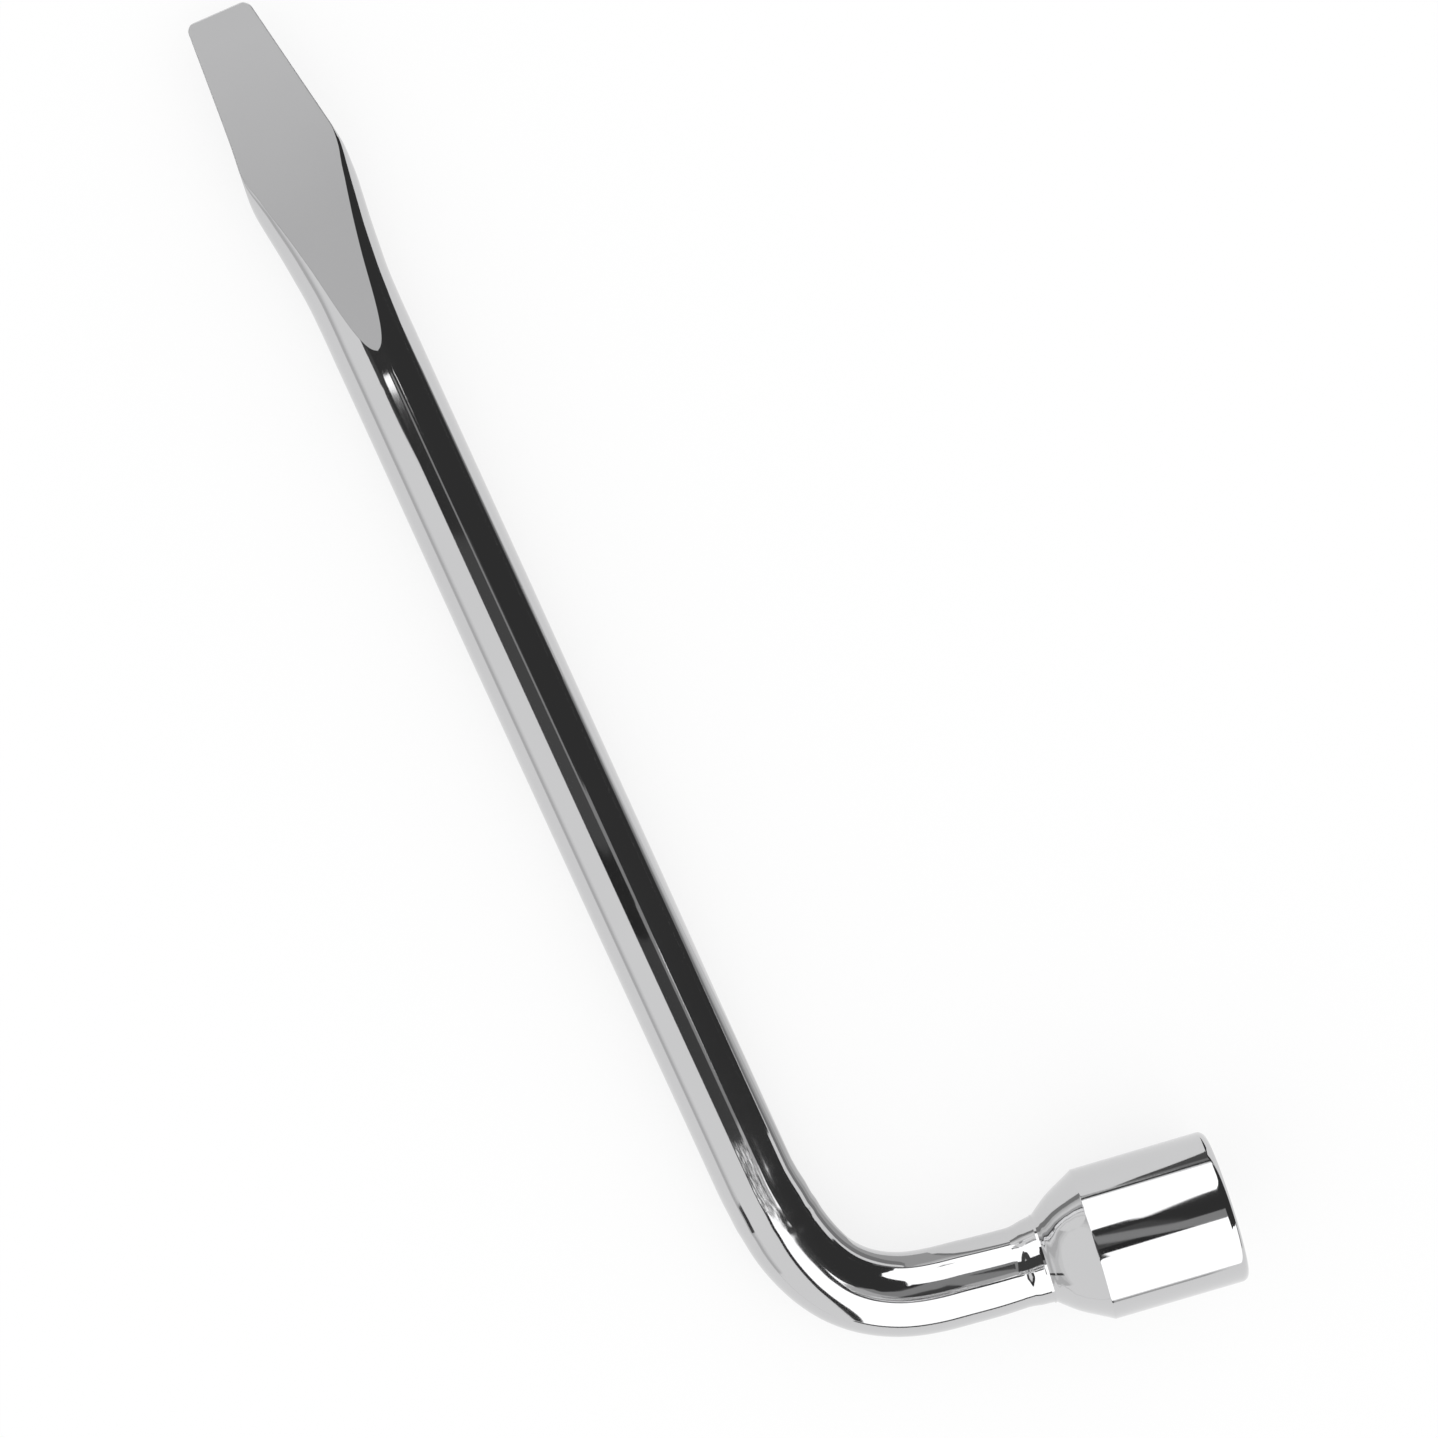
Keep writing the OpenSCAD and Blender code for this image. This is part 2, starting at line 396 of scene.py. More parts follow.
def bend_shift(path):
    """How far the bar's middle lies outside the drawn arc, in mm. The path is 0 where
    the bend starts and 1 where it ends. The real bar starts to turn a little early and
    is bent tightest in the middle."""
    return through(path, [0, 0.06, 0.12, 0.25, 0.38, 0.5, 0.6, 0.75, 0.94, 1.05, 1.2, 1.5, 2],
                   [-0.55, -0.8, -0.76, -0.5, 0.0, 0.42, 0.52, 0.35, 0.0, 0.08, 0.3, 0.2, 0])


def bend_width(path):
    """Half the bar's width in the plane of the bend, which the bending dies spread."""
    return BAR_R + through(path, [0, 0.2, 0.5, 0.9, 1.1, 1.2, 1.35, 2],
                           [0.22, 0.28, 0.26, 0.34, 0.28, 0.2, 0, 0])


def shank_rings():
    """Every ring of the bar, from the tip of the blade to its end inside the head."""
    tip_turn = np.linspace(math.pi / 2, 0, 18)
    tip = TIP_AT - TIP_CORNER_R + TIP_CORNER_R * np.sin(tip_turn)
    blade = np.linspace(tip[-1], FIRST_FLAT, 150)[1:]
    stations = np.concatenate([tip, blade])
    ring = whole_ring(blade_quarter(stations, 1), blade_quarter(stations, -1))
    point = corner + stations[:, None, None] * ALONG
    flat_part = point + ring[..., :1] * np.array([1, 0, 0]) + ring[..., 1:] * np.array([0, 0, 1])

    crowded = np.unwrap(np.arctan2(ring[-1, :, 0], ring[-1, :, 1]))
    even = np.linspace(0, 2 * math.pi, 4 * QUARTER, endpoint=False)
    near = np.linspace(FIRST_FLAT, EVEN_BY - 2, 23)[1:]
    stations = np.concatenate([near, np.linspace(near[-1], TANGENT, 60)[1:]])[:, None]
    angle = even + (crowded - even) * ease(stations, EVEN_BY, FIRST_FLAT)
    radius = bar_radius(stations)
    lean = ROLL * (1 - ease(stations, 60, 160))        # the ring turns into the bend's axes
    x_way = np.stack([np.cos(lean), 0 * lean, np.sin(lean)], -1)
    z_way = np.stack([-np.sin(lean), 0 * lean, np.cos(lean)], -1)
    early = ease(-stations, -34, -TANGENT)             # the last of the arm joins the bend
    broad = radius + early * (bend_width(0) - radius)
    inwards = (-bend_shift(0) * early)[..., None] * INWARD
    round_part = corner + stations[..., None] * ALONG + inwards \
        + (broad * np.sin(angle))[..., None] * x_way + (radius * np.cos(angle))[..., None] * z_way

    middle = corner + TANGENT * ALONG + BEND_R * INWARD
    turned = np.linspace(0, TURN, 97)[1:]
    to_middle = np.cos(turned)[:, None] * INWARD + np.sin(turned)[:, None] * ALONG
    bend_axis = middle - BEND_R * to_middle
    arm_reach = np.linspace(TANGENT, WELD_AT + 2, 30)[1:]
    arm_reach = np.concatenate([arm_reach, [REAR_AT, SEAT_AT - 0.05]])
    arm_axis = corner + arm_reach[:, None] * OUT
    axis = np.concatenate([bend_axis, arm_axis])
    inner = np.concatenate([to_middle, np.tile(to_middle[-1], (len(arm_reach), 1))])
    path = np.concatenate([turned / TURN, 1 + (arm_reach - TANGENT) / (TURN * BEND_R)])
    axis = axis - bend_shift(path)[:, None] * inner
    broad, tall = bend_width(path)[:, None], BAR_R - BEND_DRAW / 2
    curved = axis[:, None] + (broad * np.sin(even))[..., None] * inner[:, None] \
        + (tall * np.cos(even))[:, None] * UPWARD
    return np.concatenate([flat_part, round_part, curved])[:, ::-1]


shank = add_rings("shank_bar", shank_rings())
print("The bar has", len(shank.data.polygons), "faces")

# %% [markdown]
# ## The socket head
# The head is turned steel. From the weld its shoulder swells to the barrel in a shallow
# dome, and a clear line shows where the two meet. The mouth has a rounded rim, a flat
# face and a six-sided recess that starts with a 45 degree lead-in, so that it finds the
# nut. Behind the recess a wider, round hole takes the end of the wheel stud. The outline
# is one list of stations and radii. Only inside the recess does the radius also depend on
# the angle: the distance to a hexagon's side is half the width across the flats divided
# by the cosine of the angle from the nearest side's middle. The photograph doesn't show
# the recess. The plate is thinner and duller in there, so its rings carry an attribute
# that the chrome reads.

# %% The head's rings
AROUND = 192                            # points of a ring, a multiple of six
RECESS_RINGS = 16                       # the rings of the hexagon and the stud hole
FOOT_AT = REAR_AT + 0.5                 # where the weld meets the shoulder
SHARP_ANGLE = math.radians(34)          # a sharper edge than this isn't shaded over


def shoulder(steps):
    """The shoulder's outline, from its foot at the weld to the barrel. It rises fastest
    just past its foot. Returns stations and radii."""
    at = np.linspace(FOOT_AT, CREASE_AT, steps)
    return at, through(at, [45.7, 46.1, 46.5, 47, 48, 49, 50, 51, 52, 53, 54, 55, 55.6],
                       [8.84, 9.15, 9.5, 9.88, 10.68, 11.42, 12.05, 12.62, 13.15, 13.68,
                        14.2, 14.75, 15.1])


def head_rings():
    """The head's rings, from the bar's seat over the outside, into the recess and down
    to the tip of the drilled cone."""
    angle = np.linspace(0, 2 * math.pi, AROUND, endpoint=False)
    hexagon = HEX_AF / 2 / np.cos((angle % (math.pi / 3)) - math.pi / 6)
    mouth_r = HEX_AF / 2 / math.cos(math.pi / 6) + LEAD_IN
    shoulder_at, shoulder_r = shoulder(60)
    rim = np.linspace(0, math.pi / 2, 17)
    rows = [(SEAT_AT, 0.05), (SEAT_AT, BAR_R - 0.1), (SEAT_AT, BAR_R), (SEAT_AT - 0.1, BAR_R),
            (REAR_AT + 0.1, BAR_R), (REAR_AT, BAR_R), (REAR_AT, BAR_R + WELD_H - 0.4)]
    rows += list(zip(shoulder_at, shoulder_r))[:-1]
    rows += [(CREASE_AT - 0.06, HEAD_R - 0.026), (CREASE_AT + 0.02, HEAD_R - 0.004),
             (CREASE_AT + 0.10, HEAD_R)]
    rows += [(at, HEAD_R) for at in np.linspace(CREASE_AT + 0.5, MOUTH_AT - RIM_R - 0.4, 12)]
    rows += [(MOUTH_AT - RIM_R + RIM_R * math.sin(a), HEAD_R - RIM_R + RIM_R * math.cos(a))
             for a in rim]
    rows += [(MOUTH_AT, mouth_r + 0.12), (MOUTH_AT - 0.02, mouth_r + 0.03),
             (MOUTH_AT - 0.08, mouth_r - 0.06)]
    outside = np.array([[np.full(AROUND, at), np.full(AROUND, r)] for at, r in rows])
    edge_at = MOUTH_AT - (mouth_r - hexagon)
    walls = [(edge_at + 0.06, hexagon + 0.06), (edge_at - 0.02, hexagon + 0.01),
             (edge_at - 0.12, hexagon)]
    walls += [(edge_at + (HEX_FLOOR_AT + 0.1 - edge_at) * v, hexagon)
              for v in np.linspace(0.1, 1, 6)]
    walls += [(HEX_FLOOR_AT + 0 * hexagon, hexagon - 0.1)]
    stud_floor_at = HEX_FLOOR_AT - STUD_LEN
    walls += [(np.full(AROUND, at), np.full(AROUND, r)) for at, r in
              [(HEX_FLOOR_AT, STUD_R + 0.15), (HEX_FLOOR_AT - 0.04, STUD_R + 0.04),
               (HEX_FLOOR_AT - 0.15, STUD_R), (stud_floor_at, STUD_R),
               (stud_floor_at - 0.1, STUD_R - 0.15), (stud_floor_at - STUD_CONE, 0.05)]]
    profile = np.concatenate([outside, np.array([[a, b] for a, b in walls])])
    at, r = profile[:, 0, :, None], profile[:, 1, :, None]
    turned = np.sin(angle)[:, None] * ACROSS - np.cos(angle)[:, None] * UPWARD
    return corner + at * OUT + r * turned


head = add_rings("socket_head_skin", head_rings())
head.data.set_sharp_from_angle(angle=SHARP_ANGLE)
recess = head.data.attributes.new("recess", "FLOAT", "POINT")
inside = np.zeros(len(head.data.vertices), dtype=np.float32)
inside[-AROUND * RECESS_RINGS:] = 1                      # the rings behind the lead-in
recess.data.foreach_set("value", inside)
print("The head has", len(head.data.polygons), "faces")


# %% [markdown]
# ## The weld
# The bar sits in a hole in the head's back and is welded to it all round. The weld was
# ground and polished before plating, so it is a smooth hollow ring that leaves the bar
# gently and stops at the head in a fine line, where the slope jumps.

# %% The weld's rings
def weld_rings():
    """The weld's outline: the ring leaves the bar without an edge, swells fastest
    halfway, lies flatter past that, where the grinder touched it, and rises once more to
    the head. Its start is centred on the bar and its end on the head. Behind it the ring
    closes on the bar."""
    angle = np.linspace(0, 2 * math.pi, AROUND, endpoint=False)
    at = np.linspace(WELD_AT + 0.02, FOOT_AT, 64)
    r = through(at, [39.3, 39.8, 40.3, 41, 41.7, 42.3, 42.8, 43.4, 44.2, 45, 45.7],
                [7.975, 7.99, 8.02, 8.09, 8.2, 8.335, 8.43, 8.505, 8.6, 8.7, 8.83])
    at = np.concatenate([at, [FOOT_AT, REAR_AT, WELD_AT + 0.1]])
    r = np.concatenate([r, [BAR_R + 0.7, BAR_R - 0.05, BAR_R - 0.05]])
    path = 1 + (at - TANGENT) / (TURN * BEND_R)
    aside = bend_shift(path) * (1 - ease(at, WELD_AT, FOOT_AT) ** 2)
    to_middle = math.cos(TURN) * INWARD + math.sin(TURN) * ALONG
    turned = np.sin(angle)[:, None] * ACROSS - np.cos(angle)[:, None] * UPWARD
    axis = corner + at[:, None] * OUT - aside[:, None] * to_middle
    return axis[:, None] + r[:, None, None] * turned


weld = add_rings("weld_ring", weld_rings(), is_hoop=True)
print("The weld has", len(weld.data.polygons), "faces")

# %% Each new piece stands for its CAD node
for piece, node in ((shank, "shank"), (head, "socket_head"), (weld, "neck_weld")):
    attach(piece, "root")
    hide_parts(node)
    print(piece.name, "stands for", node)

# %% [markdown]
# ## Chrome
# Chrome plate is a metal mirror. Its colour is a neutral grey of about 0.6, so a white
# wall shows in it as light grey and only a lamp shows as white. A perfect mirror looks
# like a drawing, though. Real plate follows the polished steel under it, which keeps a
# trace of the polishing wheel and a very slight waviness.

# %% Shader maths as Python expressions
WHITE = (1, 1, 1, 1)


class Value:
    """One output socket of a material. + - * on it add Math nodes."""

    def __init__(self, tree, socket):
        self.tree, self.socket = tree, socket

    def math(self, operation, *others, swap=False):
        """A Math node on this socket and others. With swap they come first."""
        node = self.tree.nodes.new("ShaderNodeMath")
        node.operation = operation
        parts = [self, *others]
        for i, part in enumerate(reversed(parts) if swap else parts):
            if isinstance(part, Value):
                self.tree.links.new(part.socket, node.inputs[i])
            else:
                node.inputs[i].default_value = part
        return Value(self.tree, node.outputs[0])

    def __add__(self, other): return self.math("ADD", other)
    def __radd__(self, other): return self.math("ADD", other)
    def __sub__(self, other): return self.math("SUBTRACT", other)
    def __rsub__(self, other): return self.math("SUBTRACT", other, swap=True)
    def __mul__(self, other): return self.math("MULTIPLY", other)
    def __rmul__(self, other): return self.math("MULTIPLY", other)


class Finish:
    """A material under construction."""

    def __init__(self, name):
        self.material = bpy.data.materials.new(name)
        self.material.use_nodes = True
        self.tree = self.material.node_tree
        self.shader = self.tree.nodes["Principled BSDF"]

    def node(self, kind, settings=None, out=0, **sockets):
        """Add a node: its settings first, then the values or links of its sockets."""
        node = self.tree.nodes.new(kind)
        for key, setting in (settings or {}).items():
            setattr(node, key, setting)
        for key, given in sockets.items():
            self.join(given, node.inputs[key])
        return Value(self.tree, node.outputs[out])

    def join(self, given, socket):
        """Link a Value to a socket, or set a constant on it."""
        if isinstance(given, Value):
            self.tree.links.new(given.socket, socket)
        else:
            socket.default_value = given

    def feed(self, socket, given):
        """Feed one socket of the main shader."""
        self.join(given, self.shader.inputs[socket])

    def show(self, surface):
        """Make this shader what the material shows."""
        self.tree.links.new(surface.socket, self.tree.nodes["Material Output"].inputs["Surface"])

    def glow(self, level):
        """Show nothing but a grey glow. Its level is a number or changes over the card."""
        self.tree.nodes.remove(self.shader)
        if isinstance(level, Value):
            grey = self.node("ShaderNodeCombineColor", Red=level, Green=level, Blue=level)
            self.show(self.node("ShaderNodeEmission", Color=grey, Strength=1.0))
        else:
            self.show(self.node("ShaderNodeEmission", Color=WHITE, Strength=level))
        return self


# %% The chrome
OBJECT_PLACE, FACTOR = 3, 2             # outputs of the nodes that read coordinates, attribute


def chrome(name, shade, dull, wave):
    """Mirror plate: a shade with a faint drift over about 2 cm, a roughness with a
    polishing haze of about 2 mm, and a bump of long soft waves, wave metres deep. Inside
    the recess the plate is thin, darker and dull."""
    f = Finish(name)
    place = f.node("ShaderNodeTexCoord", out=OBJECT_PLACE)
    drift = f.node("ShaderNodeTexNoise", Vector=place, Scale=45.0, Detail=2.0)
    haze = f.node("ShaderNodeTexNoise", Vector=place, Scale=420.0, Detail=3.0)
    recess = f.node("ShaderNodeAttribute", {"attribute_name": "recess"}, out=FACTOR)
    tone = shade + (drift - 0.5) * 0.03 - recess * 0.14
    f.feed("Base Color", f.node("ShaderNodeCombineColor", Red=tone, Green=tone, Blue=tone + 0.006))
    f.feed("Metallic", 1.0)
    f.feed("Roughness", dull + haze * dull * 0.8 + recess * 0.2)
    waves = f.node("ShaderNodeTexNoise", Vector=place, Scale=70.0, Detail=1.0)
    f.feed("Normal", f.node("ShaderNodeBump", Strength=1.0, Distance=wave, Height=waves))
    return f.material


mirror = chrome("chrome_plate", 0.585, 0.045, 0.000004)
for piece in (shank, head, weld):
    piece.data.materials.append(mirror)
print("The chrome has", len(mirror.node_tree.nodes), "nodes")

# %% [markdown]
# ## The studio
# A chrome tool shows its room, so in a product photograph the room is built on purpose.
# Two large white lamps hang over the table with black flags between them. Each lamp shows
# in the bar as a white band and each flag as a dark one, and the edge of a band is the
# edge of a card. A panorama picture or area lights would also do. Flat cards are
# used here, because each one can be named and moved as a photographer would move it.
# The real studio isn't known. These cards are a guess at it, fitted to the reflections
# in the photograph as they show from its own viewpoint, so the fit is best there.
#
# Only mirror reflections see the cards.

# %% World and floor
world = bpy.data.worlds.new("white_room")
bpy.context.scene.world = world
world.use_nodes = True
world.node_tree.nodes["Background"].inputs["Color"].default_value = WHITE
world.node_tree.nodes["Background"].inputs["Strength"].default_value = 1.0

FLOOR_HALF = 6                          # metres
FLOOR_SHARE = 0.72                      # how much of the floor's look is its own glow
floor_mesh = bpy.data.meshes.new("floor")
floor_mesh.from_pydata([(x * FLOOR_HALF, y * FLOOR_HALF, 0)
                        for x, y in ((-1, -1), (1, -1), (1, 1), (-1, 1))], [], [(0, 1, 2, 3)])
floor = bpy.data.objects.new("floor", floor_mesh)
bpy.context.scene.collection.objects.link(floor)
floor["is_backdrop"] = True
f = Finish("white_floor")
f.feed("Base Color", (0.9, 0.9, 0.9, 1))
f.feed("Roughness", 1.0)
f.feed("Specular IOR Level", 0.0)
seen = f.node("ShaderNodeLightPath", out="Is Camera Ray")
for kind_of_ray in ("Is Glossy Ray", "Is Transmission Ray"):
    seen = seen.math("MAXIMUM", f.node("ShaderNodeLightPath", out=kind_of_ray))
glow = f.node("ShaderNodeEmission", Color=WHITE, Strength=1.04)
mix = f.node("ShaderNodeMixShader", Fac=seen * FLOOR_SHARE)
for slot, surface in ((1, f.shader.outputs[0]), (2, glow.socket)):
    f.tree.links.new(surface, mix.socket.node.inputs[slot])
f.show(mix)
floor_mesh.materials.append(f.material)
bpy.context.scene.view_settings.view_transform = "Standard"
print("The floor is", 2 * FLOOR_HALF, "m wide")

# %% [markdown]
# ## How a card is made
# A card is one flat face, given by its corners in mm, and most cards lie level. Seen from
# one spot of the tool, a large card far up and a small one low down look the same, but
# the low one is seen by fewer spots. So most cards hang at the ceiling, and a low one
# changes a short stretch of the tool and leaves the rest alone. Where two cards overlap,
# they hang a little apart, and the lower one is seen.

# %% A card and a fence of cards
CEILING, NEAR, LOW, MAT = 250, 100, 60, 0.3     # heights of level cards, in mm
LAMP, BLACK = 1.9, 0.045                        # radiances, where 1 is as bright as the room


def add_card(name, points, radiance, height=None):
    """A flat card. Without a height each corner has its own. The radiance is a number,
    or a Finish that glows with a pattern."""
    corners = [(*p, height) if height is not None else p for p in points]
    mesh = bpy.data.meshes.new(name)
    mesh.from_pydata([tuple(v * MM for v in p) for p in corners], [], [tuple(range(len(corners)))])
    card = bpy.data.objects.new(name, mesh)
    bpy.context.scene.collection.objects.link(card)
    finish = radiance if isinstance(radiance, Finish) else Finish(name).glow(radiance)
    mesh.materials.append(finish.material)
    card.visible_camera = card.visible_diffuse = card.visible_shadow = False
    card.visible_transmission = card.visible_volume_scatter = False
    card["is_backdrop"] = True


def add_fence(name, feet, low, top, radiance):
    """Upright cards along a line of feet on the floor, from the height low to top."""
    for i, (a, b) in enumerate(zip(feet, feet[1:])):
        add_card(f"{name}_{i}", [(*a, low), (*b, low), (*b, top), (*a, top)], radiance)


def beside(line, shift):
    """The same line moved along x."""
    return [(x + shift, y) for x, y in line]


print("The ceiling is", CEILING, "mm up")

# %% [markdown]
# ## Flags overhead
# A black flag covers the middle, between the two lamps, and one more covers the right.
# They give the dark band that runs down the bar, round the bend and over the head. A
# narrow grey gap between them shows as the thin line inside that band.

# %% Flags
add_card("flag_middle_front", [(-137, -109), (30, -109), (30, -75), (-137, -75)], 0.03, CEILING)
add_card("flag_middle", [(-137, -75), (30, -75), (30, 20), (-137, 20)], 0.09, CEILING)
add_card("flag_middle_back", [(-137, 20), (3, 20), (3, 80), (-25, 80), (-25, 60), (-137, 60)],
         BLACK, CEILING)
add_card("flag_gap", [(-13, 78), (-9, 48), (10, -62), (18, -88), (26, -109), (50, -109),
                      (51, -88), (52, -85), (52, -58), (28, -58), (8, 48), (5, 78)],
         0.33, CEILING - 1)
add_card("flag_near_left", [(-72, -112), (-15, -112), (-18, -60), (-72, -60)], 0.07, NEAR)
add_card("flag_near_right", [(-30, -129), (-26, -132), (2, -133), (12, -130), (12, -110),
                             (-2, -110), (-2, -126), (-15, -125)], 0.06, NEAR)
add_card("gap_near", [(-20, -52), (-18, -78), (-16, -108), (-3, -108), (-6, -78), (-9, -52)],
         0.33, NEAR - 0.5)
add_card("gap_near_end", [(-16, -108), (-15, -125), (-8, -123), (-3, -118), (-3, -108)],
         0.6, NEAR - 0.5)
add_card("flag_right", [(3, -109), (48, -109), (53, -150), (57, -192), (133, -197), (164, -200),
                        (600, -360), (1500, -730), (1500, 2300), (750, 960), (570, 690),
                        (420, 390), (270, 225), (92, 160), (60, 110), (34, 50), (34, 80), (3, 80)],
         BLACK, CEILING + 1)
add_card("flag_wall", [(1500, -1500, 0), (1500, 2300, 0), (1500, 2300, CEILING),
                       (1500, -1500, CEILING)], BLACK)
print("Flags hang at", CEILING, "and", NEAR, "mm")

# %% [markdown]
# ## Lamps and their frames
# The lower lamp hangs past the bend and the upper one past the blade. Each has a black
# frame on its left, which outlines the white in the chrome. The bend shows a mottled
# patch at the edge of the lower lamp, as if cloth were creased there. It is made as a
# noise, stretched along x, that gets brighter towards the lamp. The pattern is made
# first, and the card takes it in place of a plain radiance.

# %% The creased edge of the lower lamp
BRIGHTER_PAST = 0.118                   # metres towards -y, from where the creases fade to white
f = Finish("lamp_pattern_glow")
place = f.node("ShaderNodeTexCoord", out=OBJECT_PLACE)
stretched = f.node("ShaderNodeVectorMath", {"operation": "MULTIPLY"},
                   Vector=place, Vector_001=(0.1, 1.0, 1.0))
spots = f.node("ShaderNodeTexNoise", Vector=stretched, Scale=1300.0, Detail=2.0)
brighter = (f.node("ShaderNodeSeparateXYZ", Vector=place, out=1) * -1 - BRIGHTER_PAST) * 45
level = ((spots - 0.5) * 9 + 0.36 + brighter.math("MAXIMUM", 0.0)).math("MAXIMUM", 0.03)
creased = f.glow(level)
print("The creases are a noise through", len(f.tree.nodes), "nodes")

# %% Lamps
LOW_LAMP_EDGE = [(-515, -985), (-462, -885), (-275, -530), (-165, -320), (-106, -190)]
add_card("lamp_low", [(-106, -109), (100, -109), (164, -200), (600, -360), (600, -985)]
         + LOW_LAMP_EDGE, LAMP, CEILING + 2)
add_card("frame_low", [(-137, -109), (-133, -185), (-192, -310), (-308, -518), (-505, -868),
                       (-560, -985)] + LOW_LAMP_EDGE + [(-106, -109)], BLACK, CEILING)
add_card("lamp_pattern", [(-68, -111), (-68, -129), (-28, -129), (-15, -124), (-15, -111)],
         creased, NEAR - 1)
add_card("frame_front", [(-560, -975, 155), (-80, -975, 155), (-80, -975, 225),
                         (-560, -975, 225)], 0.06)
add_card("frame_end", [(-80, -975, 160), (-20, -975, 160), (-20, -975, 215), (-80, -975, 215)],
         0.5)
HIGH_LAMP_EDGE = [(-100, 60), (-112, 110), (-133, 170), (-170, 250), (-240, 350), (-760, 1300)]
add_card("lamp_high", [(-100, 60), (-25, 60), (-25, 80), (34, 80), (34, 50), (60, 110), (92, 160),
                       (270, 225), (420, 390), (570, 690), (750, 960), (900, 1300)]
         + HIGH_LAMP_EDGE[:0:-1], LAMP, CEILING + 2)
add_card("frame_high", [(-137, 40)] + HIGH_LAMP_EDGE
         + [(-850, 1300), (-330, 370), (-250, 230), (-215, 160), (-185, 100), (-165, 50)],
         0.08, CEILING + 1)
add_card("lamp_wall", [(-150, 1300, 0), (900, 1300, 0), (900, 1300, CEILING + 2),
                       (-150, 1300, CEILING + 2)], LAMP)
print("The lamps are", LAMP, "times as bright as the room")

# %% [markdown]
# ## The horizon
# The sides of the bar and the head show what is low down and far off. On the left a wall
# gets brighter towards its top, with one dark post before it. On the right the floor
# darkens in three steps towards low fences, a grey one and a black one.

# %% The left side
LEFT_WALL = (("left_wall", 0, 120, 0.66), ("left_wall_upper", 120, 180, 0.8),
             ("left_wall_top", 180, CEILING, 0.92))
for name, low, top, radiance in LEFT_WALL:
    add_card(name, [(-900, -700, low), (-900, 700, low), (-900, 700, top), (-900, -700, top)],
             radiance)
add_card("left_post", [(-300, -203, 26), (-300, -224, 26), (-300, -224, 78), (-300, -203, 78)],
         0.06)
add_card("left_floor", [(-900, -700), (-320, -700), (-320, 700), (-900, 700)], 0.84, MAT)
print("The left wall stands at x = -900 mm")

# %% The right side
GREY_LINE = [(-9, -112), (0, -85), (8, -67), (26, -27), (37, 3), (52, 33), (76, 73)]
BLACK_LINE = [(52, -112), (60, -77), (64, -57), (95, -27), (157, 3), (220, 33), (270, 53),
              (400, 100)]
add_fence("grey_fence", GREY_LINE[:5], 0, 7, 0.28)
add_fence("black_fence", BLACK_LINE, 0, 16, BLACK)
add_card("right_floor", [(49, 3), (53, 33), (76, 73), (95, 110), (420, 110), (400, 100),
                         (270, 53), (220, 33), (157, 3)], 0.24, MAT)
add_card("right_floor_near", [(58, -72), (49, -30), (49, 3), (157, 3), (95, -27), (64, -57),
                              (60, -72)], 0.1, MAT)
add_card("right_floor_far", [(95, 110), (150, 300), (1500, 300), (1500, 100), (420, 110)],
         BLACK, MAT)
for near_edge, far_edge, radiance in ((0, -11, 0.48), (-11, -22, 0.66), (-22, -33, 0.8)):
    add_card(f"dusk{-near_edge}", beside(GREY_LINE, near_edge) + beside(GREY_LINE, far_edge)[::-1],
             radiance, 0.2)
print("The black fence runs from", BLACK_LINE[0], "to", BLACK_LINE[-1])

# %% [markdown]
# ## Over the blade
# The blade's flat is a plane mirror that shows one small piece of the ceiling. Its card
# is a plain grey that gets a little brighter towards the tip. Black cards round it keep
# the lamps off the blade's sides.

# %% The blade's cards
FADE_FROM, FADE_RATE = 0.118, 25        # metres towards the tip, and 1 / the fade's length
GREY, BRIGHTER_BY = 0.69, 0.11
f = Finish("blade_glow_fade")
place = f.node("ShaderNodeTexCoord", out=OBJECT_PLACE)
along = (f.node("ShaderNodeSeparateXYZ", Vector=place, out=1) - FADE_FROM) * FADE_RATE
level = along.math("MAXIMUM", 0.0).math("MINIMUM", 1.0) * BRIGHTER_BY + GREY
fading = f.glow(level)
add_card("blade_lip", [(-53, 77), (-20, 77), (-20, 85), (-56, 85)], BLACK, LOW)
add_card("blade_glow", [(-52, 85), (-20, 85), (-20, 500), (-52, 500)], fading, LOW)
add_card("blade_left", [(-60, 92), (-52, 84), (-52, 500), (-60, 500)], BLACK, LOW)
add_card("blade_right", [(-20, 80), (20, 80), (20, 178), (-20, 178)], BLACK, LOW)
add_fence("blade_fin", [(12, 122), (17, 108), (15, 94)], 0, 60, BLACK)
add_fence("blade_fence", [(15, 94), (21, 92), (48, 87), (177, 75), (200, 66), (215, 34)],
          0, 13, BLACK)

stage_cards = sum(not obj.visible_camera for obj in bpy.data.objects)
print("The studio has", stage_cards, "cards")

# %% [markdown]
# ## Does it line up?
# Each named point of the photograph is compared with the same place on the finished
# meshes. Limits and outlines are the outermost vertices in some direction of the picture.
# A blade or crease end is the outermost vertex of one ring, square to that arm. The
# differences are worked out in pixels. The finished tool's box is printed. The finer
# surfaces pass the CAD's box by 0.8 mm at the tip and the mouth.

# %% How far each thing shows from its image point
def in_mm(piece):
    """A piece's finished vertices, in mm."""
    co = np.zeros(len(piece.data.vertices) * 3)
    piece.data.vertices.foreach_get("co", co)
    return co.reshape(-1, 3) / MM


def outermost(pixels, x_way, y_way):
    """The pixel that lies furthest in one direction of the picture."""
    return pixels[np.argmax(pixels @ np.array([x_way, y_way]))]


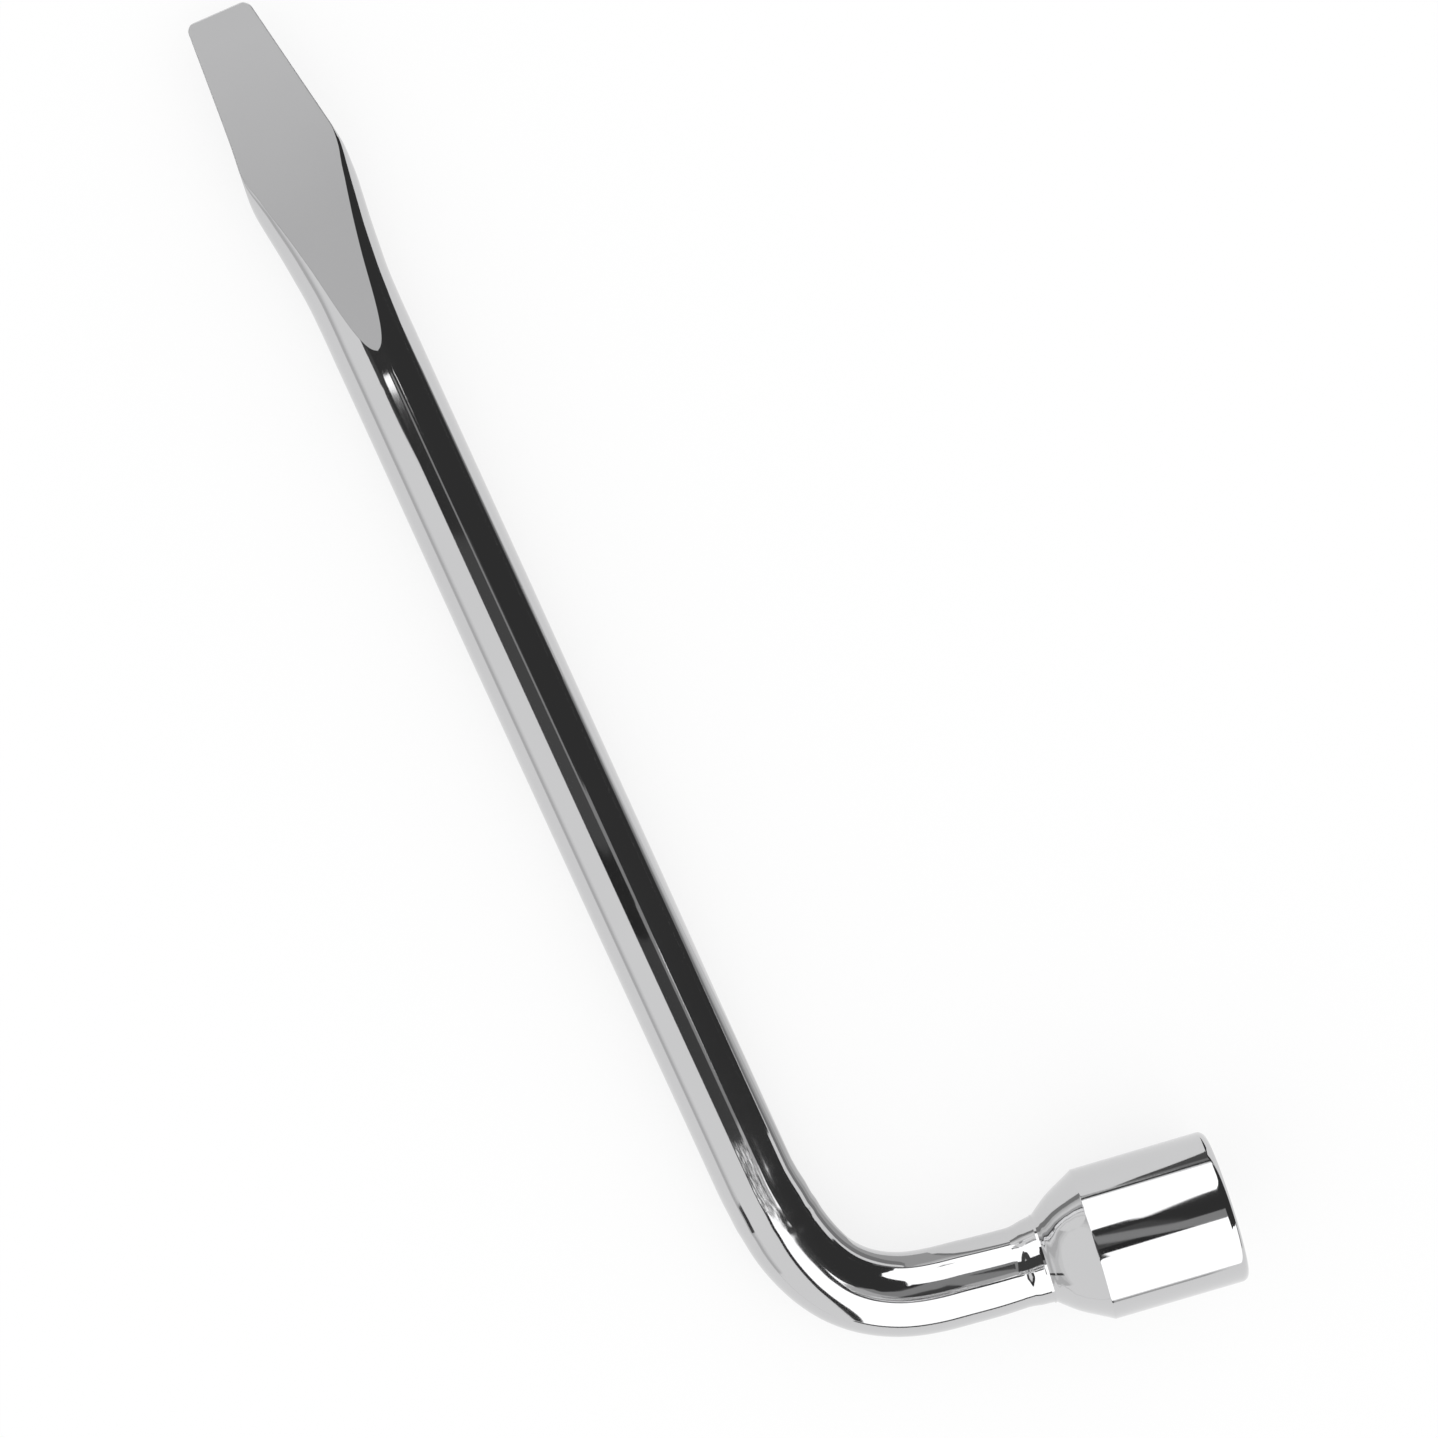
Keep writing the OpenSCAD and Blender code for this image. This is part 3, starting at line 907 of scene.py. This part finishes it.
def outline_beyond(pixels, middle, goal):
    """The pixel furthest from the middle, on the line from the middle to the goal."""
    way = (goal - middle) / np.linalg.norm(goal - middle)
    off = pixels - middle
    on_line = np.abs(off[:, 0] * way[1] - off[:, 1] * way[0]) < 1
    return outermost(pixels[on_line], *way)


def ring_near(points, axis, station):
    """The vertices of the ring nearest a station along an axis from the corner."""
    off = np.abs((points - corner) @ axis - station)
    return to_photo(points[off < off.min() + 0.05])


bar_points, head_points = in_mm(shank), in_mm(head)
every_pixel = to_photo(np.concatenate([bar_points, head_points, in_mm(weld)]))
bar_pixels = to_photo(bar_points)
blade_ring = ring_near(bar_points[bar_points[:, 1] > 0], ALONG, BLADE_AT)
on_barrel = np.linalg.norm(np.cross(head_points - corner, OUT), axis=1) > HEAD_R - 0.1
crease_ring = ring_near(head_points[on_barrel], OUT, CREASE_AT)
off_flat_point = np.linalg.norm(bar_points - corner - (0, FIRST_FLAT, BAR_R), axis=1)
top_of_bar = bar_points[np.argmin(off_flat_point)]
arm_way = to_photo(np.array([corner, corner + 200 * ALONG]))
arm_way = (arm_way[1] - arm_way[0]) / np.linalg.norm(arm_way[1] - arm_way[0])
square = (-arm_way[1], arm_way[0])
shows = {
    "left": outermost(every_pixel, -1, 0), "right": outermost(every_pixel, 1, 0),
    "top": outermost(every_pixel, 0, -1), "bottom": outermost(every_pixel, 0, 1),
    "blade_left": outermost(blade_ring, -square[0], -square[1]),
    "blade_right": outermost(blade_ring, *square),
    "flat_point": to_photo(top_of_bar[None])[0],
    "crease_far": outermost(crease_ring, -0.29, -0.96),
    "crease_near": outermost(crease_ring, 0.29, 0.96),
}
bend_middle = to_photo((corner + TANGENT * ALONG + BEND_R * INWARD)[None])[0]
for name in ("bend_left", "bend_low"):
    shows[name] = outline_beyond(bar_pixels, bend_middle, np.array(IMAGE_POINTS[name]))
for name, wanted in IMAGE_POINTS.items():
    [None if goal is None else round(float(shown - goal), 1)
                       for shown, goal in zip(shows[name], wanted)]

# %% Sizes and the end
low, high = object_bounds()
print("Finished box in mm:", [round(1000 * v, 1) for v in (*low, *high)])
